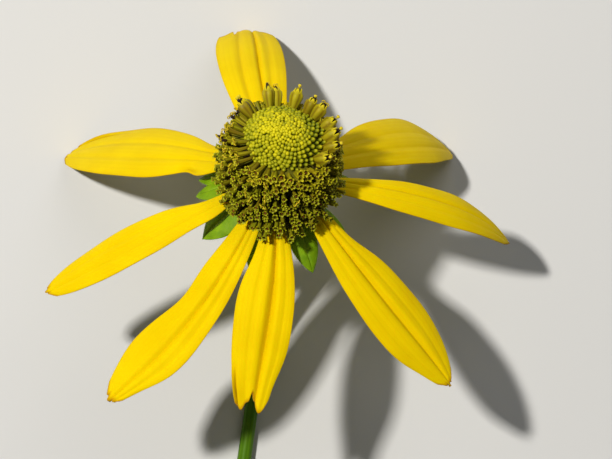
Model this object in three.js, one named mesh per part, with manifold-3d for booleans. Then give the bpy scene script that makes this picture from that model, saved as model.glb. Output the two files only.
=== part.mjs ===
// Cutleaf coneflower: one cut flower, lying face up on a surface.
// Millimetres, +Z up. The origin is on the surface, under the middle of the flower's box.
// The flower's axis leans back from the vertical. The head is carried by the tips of three long
// drooping rays and by its own stem, which bends down behind it and trails towards -Y.

import * as THREE from 'three';
import { mergeVertices } from 'three/addons/utils/BufferGeometryUtils.js';
import { ConvexGeometry } from 'three/addons/geometries/ConvexGeometry.js';
import Module from 'manifold-3d';

const wasm = await Module();
wasm.setup();

const radians = THREE.MathUtils.degToRad;
const GOLDEN_ANGLE = Math.PI * (3 - Math.sqrt(5));
const ROUND_SIDES = 24; // of everything turned about the flower's axis

// Place of the head: the middle of the ring that the rays grow from
const HEAD_CENTRE = new THREE.Vector3(0.2, 32.2, 29.9);
const TILT = 35; // degrees that the axis leans towards +Y
const LEAN = 2.6; // degrees that it leans towards +X

// Shape of every blade: powers of the rise and fall of its width, of the way that its droop grows, how
// much its edges are shorter than its middle, and the width of a groove as a share of half the blade
const WIDTH_RISE = 1.25;
const WIDTH_FALL = 2.3;
const DROOP_GROWTH = 1.3;
const EDGE_SHORTFALL = 0.05;
const GROOVE_WIDTH = 0.14;
const GROOVE_START = 0.12; // a groove's depth at the root, as a share of the way into its full depth

// Rays
const RAY_THICKNESS = 0.6;
const RAY_ROOT_RADIUS = 6; // distance of a ray's root from the axis
const RAY_ARCH = 0.15; // height of the arch across a ray, as a share of half its width
const CLAW = 0.5; // share of its width that a ray loses at its very root
const CLAW_LENGTH = 1.4; // over which it loses it
const RAY_NOTCHES = [[-0.3, 0.015, 0.12], [0.3, 0.015, 0.12]];
const RAY_COLUMNS = [-1, -0.78, -0.52, -0.32, 0, 0.32, 0.52, 0.78, 1];
const RAY_ROWS = 16;

// Each ray: azimuth of its root round the axis, droop below the head's plane at root and tip, turn to
// the side along its length and twist at its tip, all in degrees; length and greatest width; where it
// is widest, and its width at root and tip as shares of the greatest; its grooves as [place across,
// depth]; where an edge bulges or draws in, as [edge, place along, reach, share of the width]; and the
// notches in its tip as [place across, depth, width] in shares.
const RAYS = {
  ray_back: {
    azimuth: 100.5, droop: [5, 43], turn: -10, twist: 0, length: 33.8, width: 10,
    widest: 0.62, root: 0.5, tip: 0.66, grooves: [[-0.3, 0.4], [0.35, 0.3]],
    notches: [[-0.3, 0.02, 0.12], [0.35, 0.035, 0.14]],
  },
  ray_right_back: {
    azimuth: 34, droop: [20, 60], turn: 8, twist: 10, length: 36, width: 8.9,
    widest: 0.58, root: 0.62, tip: 0.14, grooves: [[-0.32, 0.3], [0.32, 0.25]],
    bulges: [[1, 0.65, 0.25, 0.15], [1, 0.17, 0.1, -0.25], [-1, 0.85, 0.15, -0.15]],
  },
  ray_right: {
    azimuth: -5, droop: [8, 60], turn: 16, twist: 0, length: 34.2, width: 5.8,
    widest: 0.5, root: 0.42, tip: 0.15, grooves: [[-0.32, 0.25], [0.32, 0.35]],
    bulges: [[1, 0.72, 0.2, 0.2]],
  },
  ray_front_right: {
    azimuth: -48.5, droop: [26, 38], turn: 10, twist: 0, length: 33, width: 9.1,
    widest: 0.62, root: 0.31, tip: 0.12, grooves: [[0.08, 0.5], [-0.5, 0.25]],
    bulges: [[1, 0.2, 0.12, -0.2], [-1, 0.45, 0.3, -0.06], [-1, 0.88, 0.1, -0.15]],
  },
  ray_front: {
    azimuth: 264, droop: [24, 42], turn: -5, twist: 0, length: 29, width: 8.7,
    widest: 0.5, root: 0.34, tip: 0.46, grooves: [[0.12, 0.6], [-0.4, 0.2]],
    bulges: [[1, 0.5, 0.4, -0.1], [1, 0.88, 0.15, -0.25], [-1, 0.2, 0.12, -0.15]],
    notches: [[0.08, 0.1, 0.3], [-1, 0.05, 0.3], [1, 0.05, 0.3]],
  },
  ray_front_left: {
    azimuth: 237.5, droop: [35, 30], turn: -28, twist: 0, length: 35, width: 8,
    widest: 0.7, root: 0.36, tip: 0.3, grooves: [[0.12, 0.45], [0.6, 0.2]],
    bulges: [[-1, 0.47, 0.13, -0.25], [-1, 0.76, 0.12, 0.1], [1, 0.92, 0.14, -0.35], [1, 0.68, 0.15, 0.05]],
  },
  ray_left: {
    azimuth: 199.8, droop: [17, 40], turn: -10, twist: 0, length: 32.5, width: 6.5,
    widest: 0.62, root: 0.3, tip: 0.25, grooves: [[-0.32, 0.2], [0.32, 0.3]],
    bulges: [[-1, 0.14, 0.1, -0.35], [-1, 0.8, 0.25, -0.15], [1, 0.13, 0.1, 0.3]],
  },
  ray_left_back: {
    azimuth: 149, droop: [28, 47], turn: -8, twist: 0, length: 40, width: 9.8,
    widest: 0.55, root: 0.3, tip: 0.2, grooves: [[-0.32, 0.35], [0.32, 0.3]],
    bulges: [[-1, 0.6, 0.3, 0.12], [1, 0.38, 0.13, 0.08], [1, 0.13, 0.06, 0.35], [-1, 0.18, 0.08, -0.12]],
  },
};

// Bracts of the involucre: [azimuth, length, width]
const BRACTS = [
  [15, 10, 3.6], [65, 10, 3.6], [88, 9, 3.2], [125, 10, 3.6], [157, 9.2, 3.8],
  [172, 8.6, 3.8], [203, 9.2, 4.8], [250, 9, 3.4], [292, 9, 4], [323, 9.6, 3.4],
];
const BRACT_THICKNESS = 0.7;
const BRACT_DROOP = [30, 42];
const BRACT_ROOT = { radius: 5, height: -1.5 };
const BRACT_OUTLINE = { widest: 0.4, root: 0.7, tip: 0.04, arch: 0.12, grooves: [[0, 0.2]] };
const BRACT_ROWS = 6;
const BRACT_COLUMNS = [-1, -0.5, 0, 0.5, 1];

// Cup of the involucre, as [radius, height] from the top of its boss down to the neck
const CUP = [[0, 0.65], [5.4, 0.65], [5.4, -0.65], [5.9, -0.65], [6.4, -1.5], [4.4, -3.1],
  [1.9, -4.3], [0, -4.3]];

// Disc core, as [radius, height] from its flat top down to the rays
const CORE = [[0, 9.1], [5.9, 9.1], [6.3, 8.1], [6.5, 5.5], [6.4, 2.6], [6.1, 0.95], [0, 0.95]];

// Open florets. The mouths lie between these heights and at this radius; the aim turns from the
// first angle off the axis to the first plus the second, and more in front, where they also sink.
const FLORET_COUNT = 110;
const FLORET_LOBES = 5;
const FLORET_LENGTH = 3.8; // from the root, sunk in the core, to the mouth
const FLORET_TUBE_RADIUS = 0.55;
const FLORET_TUBE_HEIGHT = 0.55; // where the tube is full, as a share of the length
const FLORET_LOBE_RADIUS = 1.15;
const FLORET_LOBE_DROP = 0.25; // of the lobes' tips below the mouth
const FLORET_CLEFT_DROP = 0.1;
const FLORET_THROAT = 0.7; // depth of the mouth
const FLORETS_TOP = 11.3;
const FLORETS_BOTTOM = 1.7;
const FLORETS_RADIUS = 9.4;
const FLORETS_WAIST = 1.4; // how much nearer the axis the uppermost mouths are
const FLORETS_AIM = [45, 58];
const FRONT = { radius: 1.1, drop: 1.6, topDrop: 1.1, topAim: 25, aim: 10, stretch: 0.3 };

// Dome of buds
const BUD_COUNT = 96;
const BUDS_RADIUS = 5.2;
const BUDS_TOP = 11.8;
const BUDS_FALL = 1.9; // from the middle of the dome to its edge
const BUDS_FALL_POWER = 2.2;
const BUDS_BASE = 9.4;
const BUD_RELIEF = 0.5; // depth of the gaps between three buds
const BUD_SADDLE = 0.35; // and between two
const DOME_CURVE = 12; // height over which the pressing-in turns from upright to sideways

// Stem
const STEM_RADIUS = 1.08;
const STEM_SIDES = 10;
const STEM_NECK = -4.6; // height of its upper end on the flower's axis
const STEM_LANDING = 34; // level distance from the neck to where it first lies on the surface
const STEM_HEADING = 262; // direction in which it trails, in degrees from +X
const STEM_TRAIL = 51; // length that lies on the surface
const STEM_CUT = 0.9; // slant of the cut end, as a slope
const STEM_BOW = [16, 14]; // lengths of the curve's straight beginnings at the neck and at the landing
const STEM_BOW_STEPS = 20;
const STEM_TRAIL_STEPS = 3;

// The head's frame, and a point's way there and back
const headFrame = new THREE.Matrix4().makeRotationY(radians(LEAN))
  .multiply(new THREE.Matrix4().makeRotationX(radians(-TILT)))
  .setPosition(HEAD_CENTRE);
const headFrameBack = headFrame.clone().invert();

function geometryOf(points, index) {
  const geometry = new THREE.BufferGeometry();
  const coordinates = points.flatMap((p) => p.toArray());
  geometry.setAttribute('position', new THREE.Float32BufferAttribute(coordinates, 3));
  geometry.setIndex(index);
  return geometry;
}

// A geometry with shared vertices and without the empty triangles at its poles
function closed(geometry) {
  const bare = geometry.clone();
  bare.deleteAttribute('normal');
  bare.deleteAttribute('uv');
  const merged = mergeVertices(bare, 1e-4);
  const index = [];
  for (let i = 0; i < merged.index.count; i += 3) {
    const [a, b, c] = [0, 1, 2].map((k) => merged.index.getX(i + k));
    if (a !== b && b !== c && c !== a) index.push(a, b, c);
  }
  merged.setIndex(index);
  return merged;
}

function toSolid(geometry) {
  const { attributes, index } = closed(geometry);
  return new wasm.Manifold(new wasm.Mesh({
    numProp: 3,
    vertProperties: Float32Array.from(attributes.position.array),
    triVerts: Uint32Array.from(index.array),
  }));
}

function fromSolid(solid) {
  const mesh = solid.getMesh();
  const geometry = new THREE.BufferGeometry();
  geometry.setAttribute('position', new THREE.Float32BufferAttribute(mesh.vertProperties, 3));
  geometry.setIndex(Array.from(mesh.triVerts));
  return geometry;
}

function fused(geometries) {
  return fromSolid(geometries.map(toSolid).reduce((whole, piece) => whole.add(piece)));
}

function turned(profile) {
  const outline = profile.map(([radius, height]) => new THREE.Vector2(radius, height)).reverse();
  return new THREE.LatheGeometry(outline, ROUND_SIDES).rotateX(Math.PI / 2);
}

// Share of the greatest width at a share s of the length: rises to 1 at the widest place, then falls
function widthShare(s, { widest, root, tip }) {
  if (s < widest) return root + (1 - root) * Math.sin((Math.PI / 2) * (s / widest)) ** WIDTH_RISE;
  return 1 - (1 - tip) * ((s - widest) / (1 - widest)) ** WIDTH_FALL;
}

// The middle line of a blade and its frame, at equal steps from root to tip
function midrib(blade, steps = 120) {
  const stations = [];
  const start = radians(blade.azimuth);
  const point = new THREE.Vector3(
    blade.rootRadius * Math.cos(start), blade.rootRadius * Math.sin(start), blade.rootHeight);
  for (let i = 0; i <= steps; i += 1) {
    const t = i / steps;
    const droop = radians(blade.droop[0] + (blade.droop[1] - blade.droop[0]) * t ** DROOP_GROWTH);
    const heading = radians(blade.azimuth + blade.turn * t);
    const along = new THREE.Vector3(
      Math.cos(droop) * Math.cos(heading), Math.cos(droop) * Math.sin(heading), -Math.sin(droop));
    const side = new THREE.Vector3(-Math.sin(heading), Math.cos(heading), 0)
      .applyAxisAngle(along, radians(blade.twist * t));
    if (i > 0) point.addScaledVector(along, blade.length / steps);
    stations.push({ point: point.clone(), side, up: along.clone().cross(side) });
  }
  return stations;
}

const hump = (x, place, width) => Math.exp(-(((x - place) / width) ** 2));
const total = (list, term) => list.reduce((sum, item) => sum + term(item), 0);

// The surface of a blade: t runs from root to tip, q from one edge to the other
function bladeSurface(blade) {
  const stations = midrib(blade);
  return (t, q) => {
    const notch = total(blade.notches, ([place, depth, width]) => depth * hump(q, place, width));
    const s = t * (1 - EDGE_SHORTFALL * q * q - notch);
    const here = s * (stations.length - 1);
    const low = Math.min(Math.floor(here), stations.length - 2);
    const [a, b] = [stations[low], stations[low + 1]];
    const mix = (key) => a[key].clone().lerp(b[key], here - low);
    const claw = 1 - blade.claw * Math.exp(-(s * blade.length) / CLAW_LENGTH);
    const swell = 1 + total(blade.bulges,
      ([edge, place, reach, share]) => share * hump(s, place, reach) * ((1 + edge * q) / 2) ** 2);
    const halfWidth = (blade.width / 2) * widthShare(s, blade) * claw * swell;
    const fade = Math.sin(Math.PI * Math.min(1, s + GROOVE_START)) ** 0.5;
    const groove = total(blade.grooves, ([place, depth]) => depth * hump(q, place, GROOVE_WIDTH));
    const lift = blade.arch * halfWidth * (1 - q * q) - groove * fade;
    return mix('point').addScaledVector(mix('side'), q * halfWidth).addScaledVector(mix('up'), lift);
  };
}

// A surface that would sink below the supporting plane lies on it
function settled(surface, clearance) {
  return (t, q) => {
    const point = surface(t, q).applyMatrix4(headFrame);
    point.z = Math.max(point.z, clearance);
    return point.applyMatrix4(headFrameBack);
  };
}

// A closed sheet of even thickness about a surface, with the same split of each cell on both faces
function sheet(surface, rows, columns, thickness) {
  const points = [];
  const step = 1e-3;
  for (const face of [0.5, -0.5]) {
    for (const t of rows) {
      for (const q of columns) {
        const [t0, t1] = [Math.max(t - step, 0), Math.min(t + step, 1)];
        const [q0, q1] = [Math.max(q - step, -1), Math.min(q + step, 1)];
        const along = surface(t1, q).sub(surface(t0, q));
        const across = surface(t, q1).sub(surface(t, q0));
        const normal = along.cross(across).normalize();
        points.push(surface(t, q).addScaledVector(normal, face * thickness));
      }
    }
  }
  const index = [];
  const at = (face, row, column) => (face * rows.length + row) * columns.length + column;
  const quad = (a, b, c, d) => index.push(a, b, c, a, c, d);
  const [lastRow, lastColumn] = [rows.length - 1, columns.length - 1];
  for (let r = 0; r < lastRow; r += 1) {
    for (let c = 0; c < lastColumn; c += 1) {
      quad(at(0, r, c), at(0, r + 1, c), at(0, r + 1, c + 1), at(0, r, c + 1));
      quad(at(1, r, c), at(1, r, c + 1), at(1, r + 1, c + 1), at(1, r + 1, c));
    }
    quad(at(0, r, 0), at(1, r, 0), at(1, r + 1, 0), at(0, r + 1, 0));
    quad(at(0, r, lastColumn), at(0, r + 1, lastColumn), at(1, r + 1, lastColumn), at(1, r, lastColumn));
  }
  for (let c = 0; c < lastColumn; c += 1) {
    quad(at(0, 0, c), at(0, 0, c + 1), at(1, 0, c + 1), at(1, 0, c));
    quad(at(0, lastRow, c), at(1, lastRow, c), at(1, lastRow, c + 1), at(0, lastRow, c + 1));
  }
  return geometryOf(points, index);
}

function evenly(count) {
  return Array.from({ length: count }, (_, i) => i / (count - 1));
}

function rayGeometry(ray) {
  const blade = {
    notches: RAY_NOTCHES, bulges: [], arch: RAY_ARCH, claw: CLAW,
    rootRadius: RAY_ROOT_RADIUS, rootHeight: 0, ...ray,
  };
  const surface = settled(bladeSurface(blade), RAY_THICKNESS / 2);
  return sheet(surface, evenly(RAY_ROWS), RAY_COLUMNS, RAY_THICKNESS);
}

function bractGeometry([azimuth, length, width]) {
  const surface = bladeSurface({
    azimuth, length, width, droop: BRACT_DROOP, turn: 0, twist: 0, ...BRACT_OUTLINE,
    notches: [], bulges: [], claw: 0, rootRadius: BRACT_ROOT.radius, rootHeight: BRACT_ROOT.height,
  });
  return sheet(surface, evenly(BRACT_ROWS), BRACT_COLUMNS, BRACT_THICKNESS);
}

// One open floret along +Z: a tube that widens from a point at its root to a lobed mouth
function floretGeometry() {
  const ring = (radius, height, turn) => Array.from({ length: FLORET_LOBES }, (_, i) => {
    const angle = ((i + turn) / FLORET_LOBES) * 2 * Math.PI;
    return new THREE.Vector3(radius * Math.cos(angle), radius * Math.sin(angle), height);
  });
  const lobes = ring(FLORET_LOBE_RADIUS, FLORET_LENGTH - FLORET_LOBE_DROP, 0);
  const clefts = ring(FLORET_TUBE_RADIUS, FLORET_LENGTH - FLORET_CLEFT_DROP, 0.5);
  const root = new THREE.Vector3(0, 0, 0);
  const throat = new THREE.Vector3(0, 0, FLORET_LENGTH - FLORET_THROAT);
  const tube = ring(FLORET_TUBE_RADIUS, FLORET_LENGTH * FLORET_TUBE_HEIGHT, 0);
  const points = [root, throat, ...tube, ...lobes, ...clefts];
  const index = [];
  for (let i = 0; i < FLORET_LOBES; i += 1) {
    const next = (i + 1) % FLORET_LOBES;
    const [tubeA, tubeB] = [2 + i, 2 + next];
    const [lobeA, lobeB, cleft] = [tubeA + FLORET_LOBES, tubeB + FLORET_LOBES, tubeA + 2 * FLORET_LOBES];
    index.push(0, tubeB, tubeA);
    index.push(tubeA, tubeB, cleft, tubeA, cleft, lobeA, tubeB, lobeB, cleft);
    index.push(1, lobeA, cleft, 1, cleft, lobeB);
  }
  return geometryOf(points, index);
}

// Places and aims the florets on a rising spiral, from the edge of the dome down to the rays
function floretPlacing(i) {
  const u = (i + 0.5) / FLORET_COUNT;
  const azimuth = i * GOLDEN_ANGLE;
  const front = ((1 - Math.sin(azimuth)) / 2) ** 3; // 1 where the rays droop most, 0 at the back
  const polar = radians(
    FLORETS_AIM[0] + FLORETS_AIM[1] * u ** 0.7 + front * (FRONT.topAim * (1 - u) + FRONT.aim * u * u));
  const radius = FLORETS_RADIUS - FLORETS_WAIST * (1 - u) ** 3 * (1 - front / 2)
    + FRONT.radius * front * u ** 2;
  const height = FLORETS_TOP - (FLORETS_TOP - FLORETS_BOTTOM) * u
    - front * (FRONT.topDrop * (1 - u) ** 2 + FRONT.drop * u ** 3);
  const stretch = 1 + FRONT.stretch * front * u ** 2;
  const aim = new THREE.Vector3(
    Math.sin(polar) * Math.cos(azimuth), Math.sin(polar) * Math.sin(azimuth), Math.cos(polar));
  const mouth = new THREE.Vector3(radius * Math.cos(azimuth), radius * Math.sin(azimuth), height);
  const root = mouth.addScaledVector(aim, -FLORET_LENGTH * stretch);
  const turn = new THREE.Quaternion().setFromUnitVectors(new THREE.Vector3(0, 0, 1), aim);
  return new THREE.Matrix4().compose(root, turn, new THREE.Vector3(1, 1, stretch));
}

function floretsGeometry() {
  const floret = floretGeometry();
  const florets = Array.from(
    { length: FLORET_COUNT }, (_, i) => floret.clone().applyMatrix4(floretPlacing(i)));
  return fused([turned(CORE), ...florets]);
}

// The dome: a hull over the buds' tips, pressed in between them
function budsGeometry() {
  const tips = Array.from({ length: BUD_COUNT }, (_, i) => {
    const radius = BUDS_RADIUS * Math.sqrt((i + 0.5) / BUD_COUNT);
    const angle = i * GOLDEN_ANGLE;
    const height = BUDS_TOP - BUDS_FALL * (radius / BUDS_RADIUS) ** BUDS_FALL_POWER;
    return new THREE.Vector3(radius * Math.cos(angle), radius * Math.sin(angle), height);
  });
  const base = Array.from({ length: ROUND_SIDES }, (_, i) => {
    const angle = (i / ROUND_SIDES) * 2 * Math.PI;
    return new THREE.Vector3(BUDS_RADIUS * Math.cos(angle), BUDS_RADIUS * Math.sin(angle), BUDS_BASE);
  });
  const hull = closed(new ConvexGeometry([...tips, ...base]));
  const corner = (k) => new THREE.Vector3().fromBufferAttribute(
    hull.attributes.position, hull.index.getX(k));
  const onTop = (p) => p.z > (BUDS_BASE + BUDS_TOP - BUDS_FALL) / 2;
  const pressed = (p, depth) => p.addScaledVector(
    new THREE.Vector3(p.x, p.y, DOME_CURVE).normalize(), -depth);
  const points = [];
  for (let k = 0; k < hull.index.count; k += 3) {
    const corners = [corner(k), corner(k + 1), corner(k + 2)];
    const middles = corners.map((a, i) => {
      const b = corners[(i + 1) % 3];
      const middle = a.clone().add(b).multiplyScalar(0.5);
      return onTop(a) && onTop(b) ? pressed(middle, BUD_SADDLE) : middle;
    });
    const centre = corners[0].clone().add(corners[1]).add(corners[2]).multiplyScalar(1 / 3);
    if (corners.every(onTop)) pressed(centre, BUD_RELIEF);
    corners.forEach((a, i) => {
      points.push(centre, a, middles[i], centre, middles[i], corners[(i + 1) % 3]);
    });
  }
  return closed(geometryOf(points, points.map((_, i) => i)));
}

// The stem's middle line: along the flower's axis, then down in a bow until it lies on the surface
function stemStations() {
  const low = STEM_RADIUS * Math.cos(Math.PI / STEM_SIDES);
  const neck = new THREE.Vector3(0, 0, STEM_NECK).applyMatrix4(headFrame);
  const axis = new THREE.Vector3(0, 0, 1).transformDirection(headFrame);
  const trail = new THREE.Vector3(Math.cos(radians(STEM_HEADING)), Math.sin(radians(STEM_HEADING)), 0);
  const landing = neck.clone().addScaledVector(trail, STEM_LANDING).setZ(low);
  const bow = new THREE.CubicBezierCurve3(
    neck, neck.clone().addScaledVector(axis, -STEM_BOW[0]),
    landing.clone().addScaledVector(trail, -STEM_BOW[1]), landing);
  const points = bow.getPoints(STEM_BOW_STEPS);
  for (let i = 1; i <= STEM_TRAIL_STEPS; i += 1) {
    points.push(landing.clone().addScaledVector(trail, (STEM_TRAIL * i) / STEM_TRAIL_STEPS));
  }
  return points.map((point, i) => {
    const before = points[Math.max(i - 1, 0)];
    const after = points[Math.min(i + 1, points.length - 1)];
    let along = after.clone().sub(before).normalize();
    if (i === 0) along = axis.clone().negate();
    if (i >= STEM_BOW_STEPS) along = trail.clone();
    const side = new THREE.Vector3(0, 0, 1).cross(along).normalize();
    return { point, along, side, up: along.clone().cross(side) };
  });
}

function stemGeometry() {
  const stations = stemStations();
  const points = [];
  stations.forEach(({ point, along, side, up }, row) => {
    const cut = row === stations.length - 1 ? STEM_CUT : 0;
    for (let i = 0; i < STEM_SIDES; i += 1) {
      const angle = ((i + 0.5) / STEM_SIDES) * 2 * Math.PI - Math.PI / 2;
      const [x, y] = [STEM_RADIUS * Math.cos(angle), STEM_RADIUS * Math.sin(angle)];
      points.push(point.clone().addScaledVector(side, x).addScaledVector(up, y)
        .addScaledVector(along, cut * y));
    }
  });
  const index = [];
  const at = (row, i) => row * STEM_SIDES + (i % STEM_SIDES);
  for (let row = 0; row < stations.length - 1; row += 1) {
    for (let i = 0; i < STEM_SIDES; i += 1) {
      index.push(at(row, i), at(row, i + 1), at(row + 1, i + 1));
      index.push(at(row, i), at(row + 1, i + 1), at(row + 1, i));
    }
  }
  const last = stations.length - 1;
  for (let i = 1; i < STEM_SIDES - 1; i += 1) {
    index.push(at(0, 0), at(0, i + 1), at(0, i), at(last, 0), at(last, i), at(last, i + 1));
  }
  return geometryOf(points, index);
}

// Finishes
const petalYellow = new THREE.MeshStandardMaterial({ color: 0xf2cf06, roughness: 0.6 });
const floretOlive = new THREE.MeshStandardMaterial({ color: 0x8a7c14, roughness: 0.75 });
const budGreen = new THREE.MeshStandardMaterial({ color: 0xa6a01a, roughness: 0.7 });
const leafGreen = new THREE.MeshStandardMaterial({ color: 0x5f8a1c, roughness: 0.65 });
const stemGreen = new THREE.MeshStandardMaterial({ color: 0x4d7312, roughness: 0.6 });

function piece(name, geometry, material) {
  const mesh = new THREE.Mesh(geometry, material);
  mesh.name = name;
  return mesh;
}

// The head, in its own frame
const head = new THREE.Group();
head.applyMatrix4(headFrame);
head.add(piece('disc_buds', budsGeometry(), budGreen));
head.add(piece('disc_florets', floretsGeometry(), floretOlive));
head.add(piece('involucre', fused([turned(CUP), ...BRACTS.map(bractGeometry)]), leafGreen));
for (const [name, ray] of Object.entries(RAYS)) {
  head.add(piece(name, rayGeometry(ray), petalYellow));
}

const flower = new THREE.Group();
flower.add(head);
flower.add(piece('stem', stemGeometry(), stemGreen));

export default flower;
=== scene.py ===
"""Cutleaf coneflower: one cut flower lying face up on a pale surface, seen from above."""

import bpy
import numpy as np
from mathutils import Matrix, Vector


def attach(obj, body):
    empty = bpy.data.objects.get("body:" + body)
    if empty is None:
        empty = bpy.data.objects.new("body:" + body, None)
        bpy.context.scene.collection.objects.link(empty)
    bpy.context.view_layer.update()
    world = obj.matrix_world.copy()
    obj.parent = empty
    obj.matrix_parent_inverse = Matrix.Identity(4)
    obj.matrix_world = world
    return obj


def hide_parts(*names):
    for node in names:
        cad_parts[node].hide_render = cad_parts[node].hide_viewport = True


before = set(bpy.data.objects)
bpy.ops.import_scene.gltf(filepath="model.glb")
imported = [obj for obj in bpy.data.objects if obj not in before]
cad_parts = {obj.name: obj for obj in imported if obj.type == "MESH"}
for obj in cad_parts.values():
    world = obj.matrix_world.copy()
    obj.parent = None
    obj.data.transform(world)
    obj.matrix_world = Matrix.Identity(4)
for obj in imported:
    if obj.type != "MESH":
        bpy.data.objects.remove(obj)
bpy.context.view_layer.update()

# Stem
# The flower's own stalk: smooth green skin over a pale pith, with shallow furrows along it. It leaves
# the cup along the flower's axis, bends down behind the head and lies along the surface, cut on the
# slant.
MM = 0.001
HEAD_CENTRE = np.array([0.2, 32.2, 29.9]) * MM
HEAD_TILT = np.radians(35)
HEAD_LEAN = np.radians(2.6)
STEM_RADIUS = 1.08 * MM
STEM_NECK = -4.6 * MM
STEM_LANDING = 34 * MM
STEM_HEADING = np.radians(262)
STEM_TRAIL = 51 * MM
STEM_LEAVING = 16 * MM
STEM_ARRIVING = 14 * MM
STEM_LIE = STEM_RADIUS * np.cos(np.pi / 10)
STEM_GIRTH = 0.985 * STEM_RADIUS
STEM_CUT = 0.9
STEM_FURROWS = 9
STEM_FURROW_DEPTH = 0.035
STEM_SWELL = 0.02
STEM_SWELL_REACH = 7 * MM
STEM_RIPPLE = 0.012
STEM_RIPPLE_REACH = 2.7 * MM
STEM_STEPS = 90
STEM_SIDES = 54
CLEARANCE = 0.02 * MM


def head_axes():
    """The flower's own x, y and z as columns: a turn about X that tips +Z towards +Y, then one about Y
    that leans it towards +X."""
    ct, st, cl, sl = np.cos(HEAD_TILT), np.sin(HEAD_TILT), np.cos(HEAD_LEAN), np.sin(HEAD_LEAN)
    tip = np.array([[1, 0, 0], [0, ct, st], [0, -st, ct]])
    lean = np.array([[cl, 0, sl], [0, 1, 0], [-sl, 0, cl]])
    return lean @ tip


HEAD_AXES = head_axes()


def from_head(points):
    """Points in the flower's own frame, turned with its axes and moved to where the head lies."""
    return points @ HEAD_AXES.T + HEAD_CENTRE


def quads(rows, columns, ring=False):
    """Corner numbers of each cell in a grid of points. ring joins the last column to the first."""
    r, c = np.meshgrid(np.arange(rows - 1), np.arange(columns if ring else columns - 1), indexing="ij")
    n = (c + 1) % columns
    cells = np.stack([r * columns + c, r * columns + n, (r + 1) * columns + n, (r + 1) * columns + c], -1)
    return cells.reshape(-1, 4)


def fan(ring, centre):
    """Triangles from a ring of corner numbers to one centre."""
    return np.stack([ring, np.roll(ring, -1), np.full(len(ring), centre)], -1)


def add_piece(name, points, faces, materials, values, nodes, which=None):
    """A smooth mesh from points and lists of face blocks, with a number at each point for every entry of
    values, riding on the flower. which gives each face its material."""
    mesh = bpy.data.meshes.new(name)
    mesh.from_pydata(points.reshape(-1, 3).tolist(), [], [f for block in faces for f in block.tolist()])
    for material in materials:
        mesh.materials.append(material)
    if which is not None:
        mesh.polygons.foreach_set("material_index", np.asarray(which, np.int32))
    mesh.polygons.foreach_set("use_smooth", np.ones(len(mesh.polygons), bool))
    for key, value in values.items():
        layer = mesh.attributes.new(key, "FLOAT", "POINT")
        layer.data.foreach_set("value", np.ascontiguousarray(value, np.float32).ravel())
    mesh.update()
    piece = bpy.data.objects.new(name, mesh)
    bpy.context.scene.collection.objects.link(piece)
    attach(piece, "root")
    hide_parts(*nodes)


SKIN_CELLS = 5200
SKIN_DEPTH = 0.05 * MM
SKIN_SCATTER = 0.6 * MM
SKIN_SHEEN = 0.15


def skin_group():
    """Plant skin: soft mottling and the fine grain of its cells, both from noise on Object coordinates."""
    group = bpy.data.node_groups.new("plant_skin", "ShaderNodeTree")
    group.interface.new_socket("Patch size", in_out="INPUT", socket_type="NodeSocketFloat")
    group.interface.new_socket("Grain", in_out="INPUT", socket_type="NodeSocketFloat")
    group.interface.new_socket("Mottle", in_out="OUTPUT", socket_type="NodeSocketFloat")
    group.interface.new_socket("Normal", in_out="OUTPUT", socket_type="NodeSocketVector")
    add, link = group.nodes.new, group.links.new
    given, out = add("NodeGroupInput"), add("NodeGroupOutput")
    place = add("ShaderNodeTexCoord")
    patches, cells, bump = add("ShaderNodeTexNoise"), add("ShaderNodeTexNoise"), add("ShaderNodeBump")
    patches.inputs["Detail"].default_value = 4
    cells.inputs["Scale"].default_value = SKIN_CELLS
    cells.inputs["Detail"].default_value = 2
    bump.inputs["Distance"].default_value = SKIN_DEPTH
    link(place.outputs["Object"], patches.inputs["Vector"])
    link(place.outputs["Object"], cells.inputs["Vector"])
    link(given.outputs["Patch size"], patches.inputs["Scale"])
    link(given.outputs["Grain"], bump.inputs["Strength"])
    link(cells.outputs["Fac"], bump.inputs["Height"])
    link(patches.outputs["Fac"], out.inputs["Mottle"])
    link(bump.outputs["Normal"], out.inputs["Normal"])
    return group


SKIN = skin_group()


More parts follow.
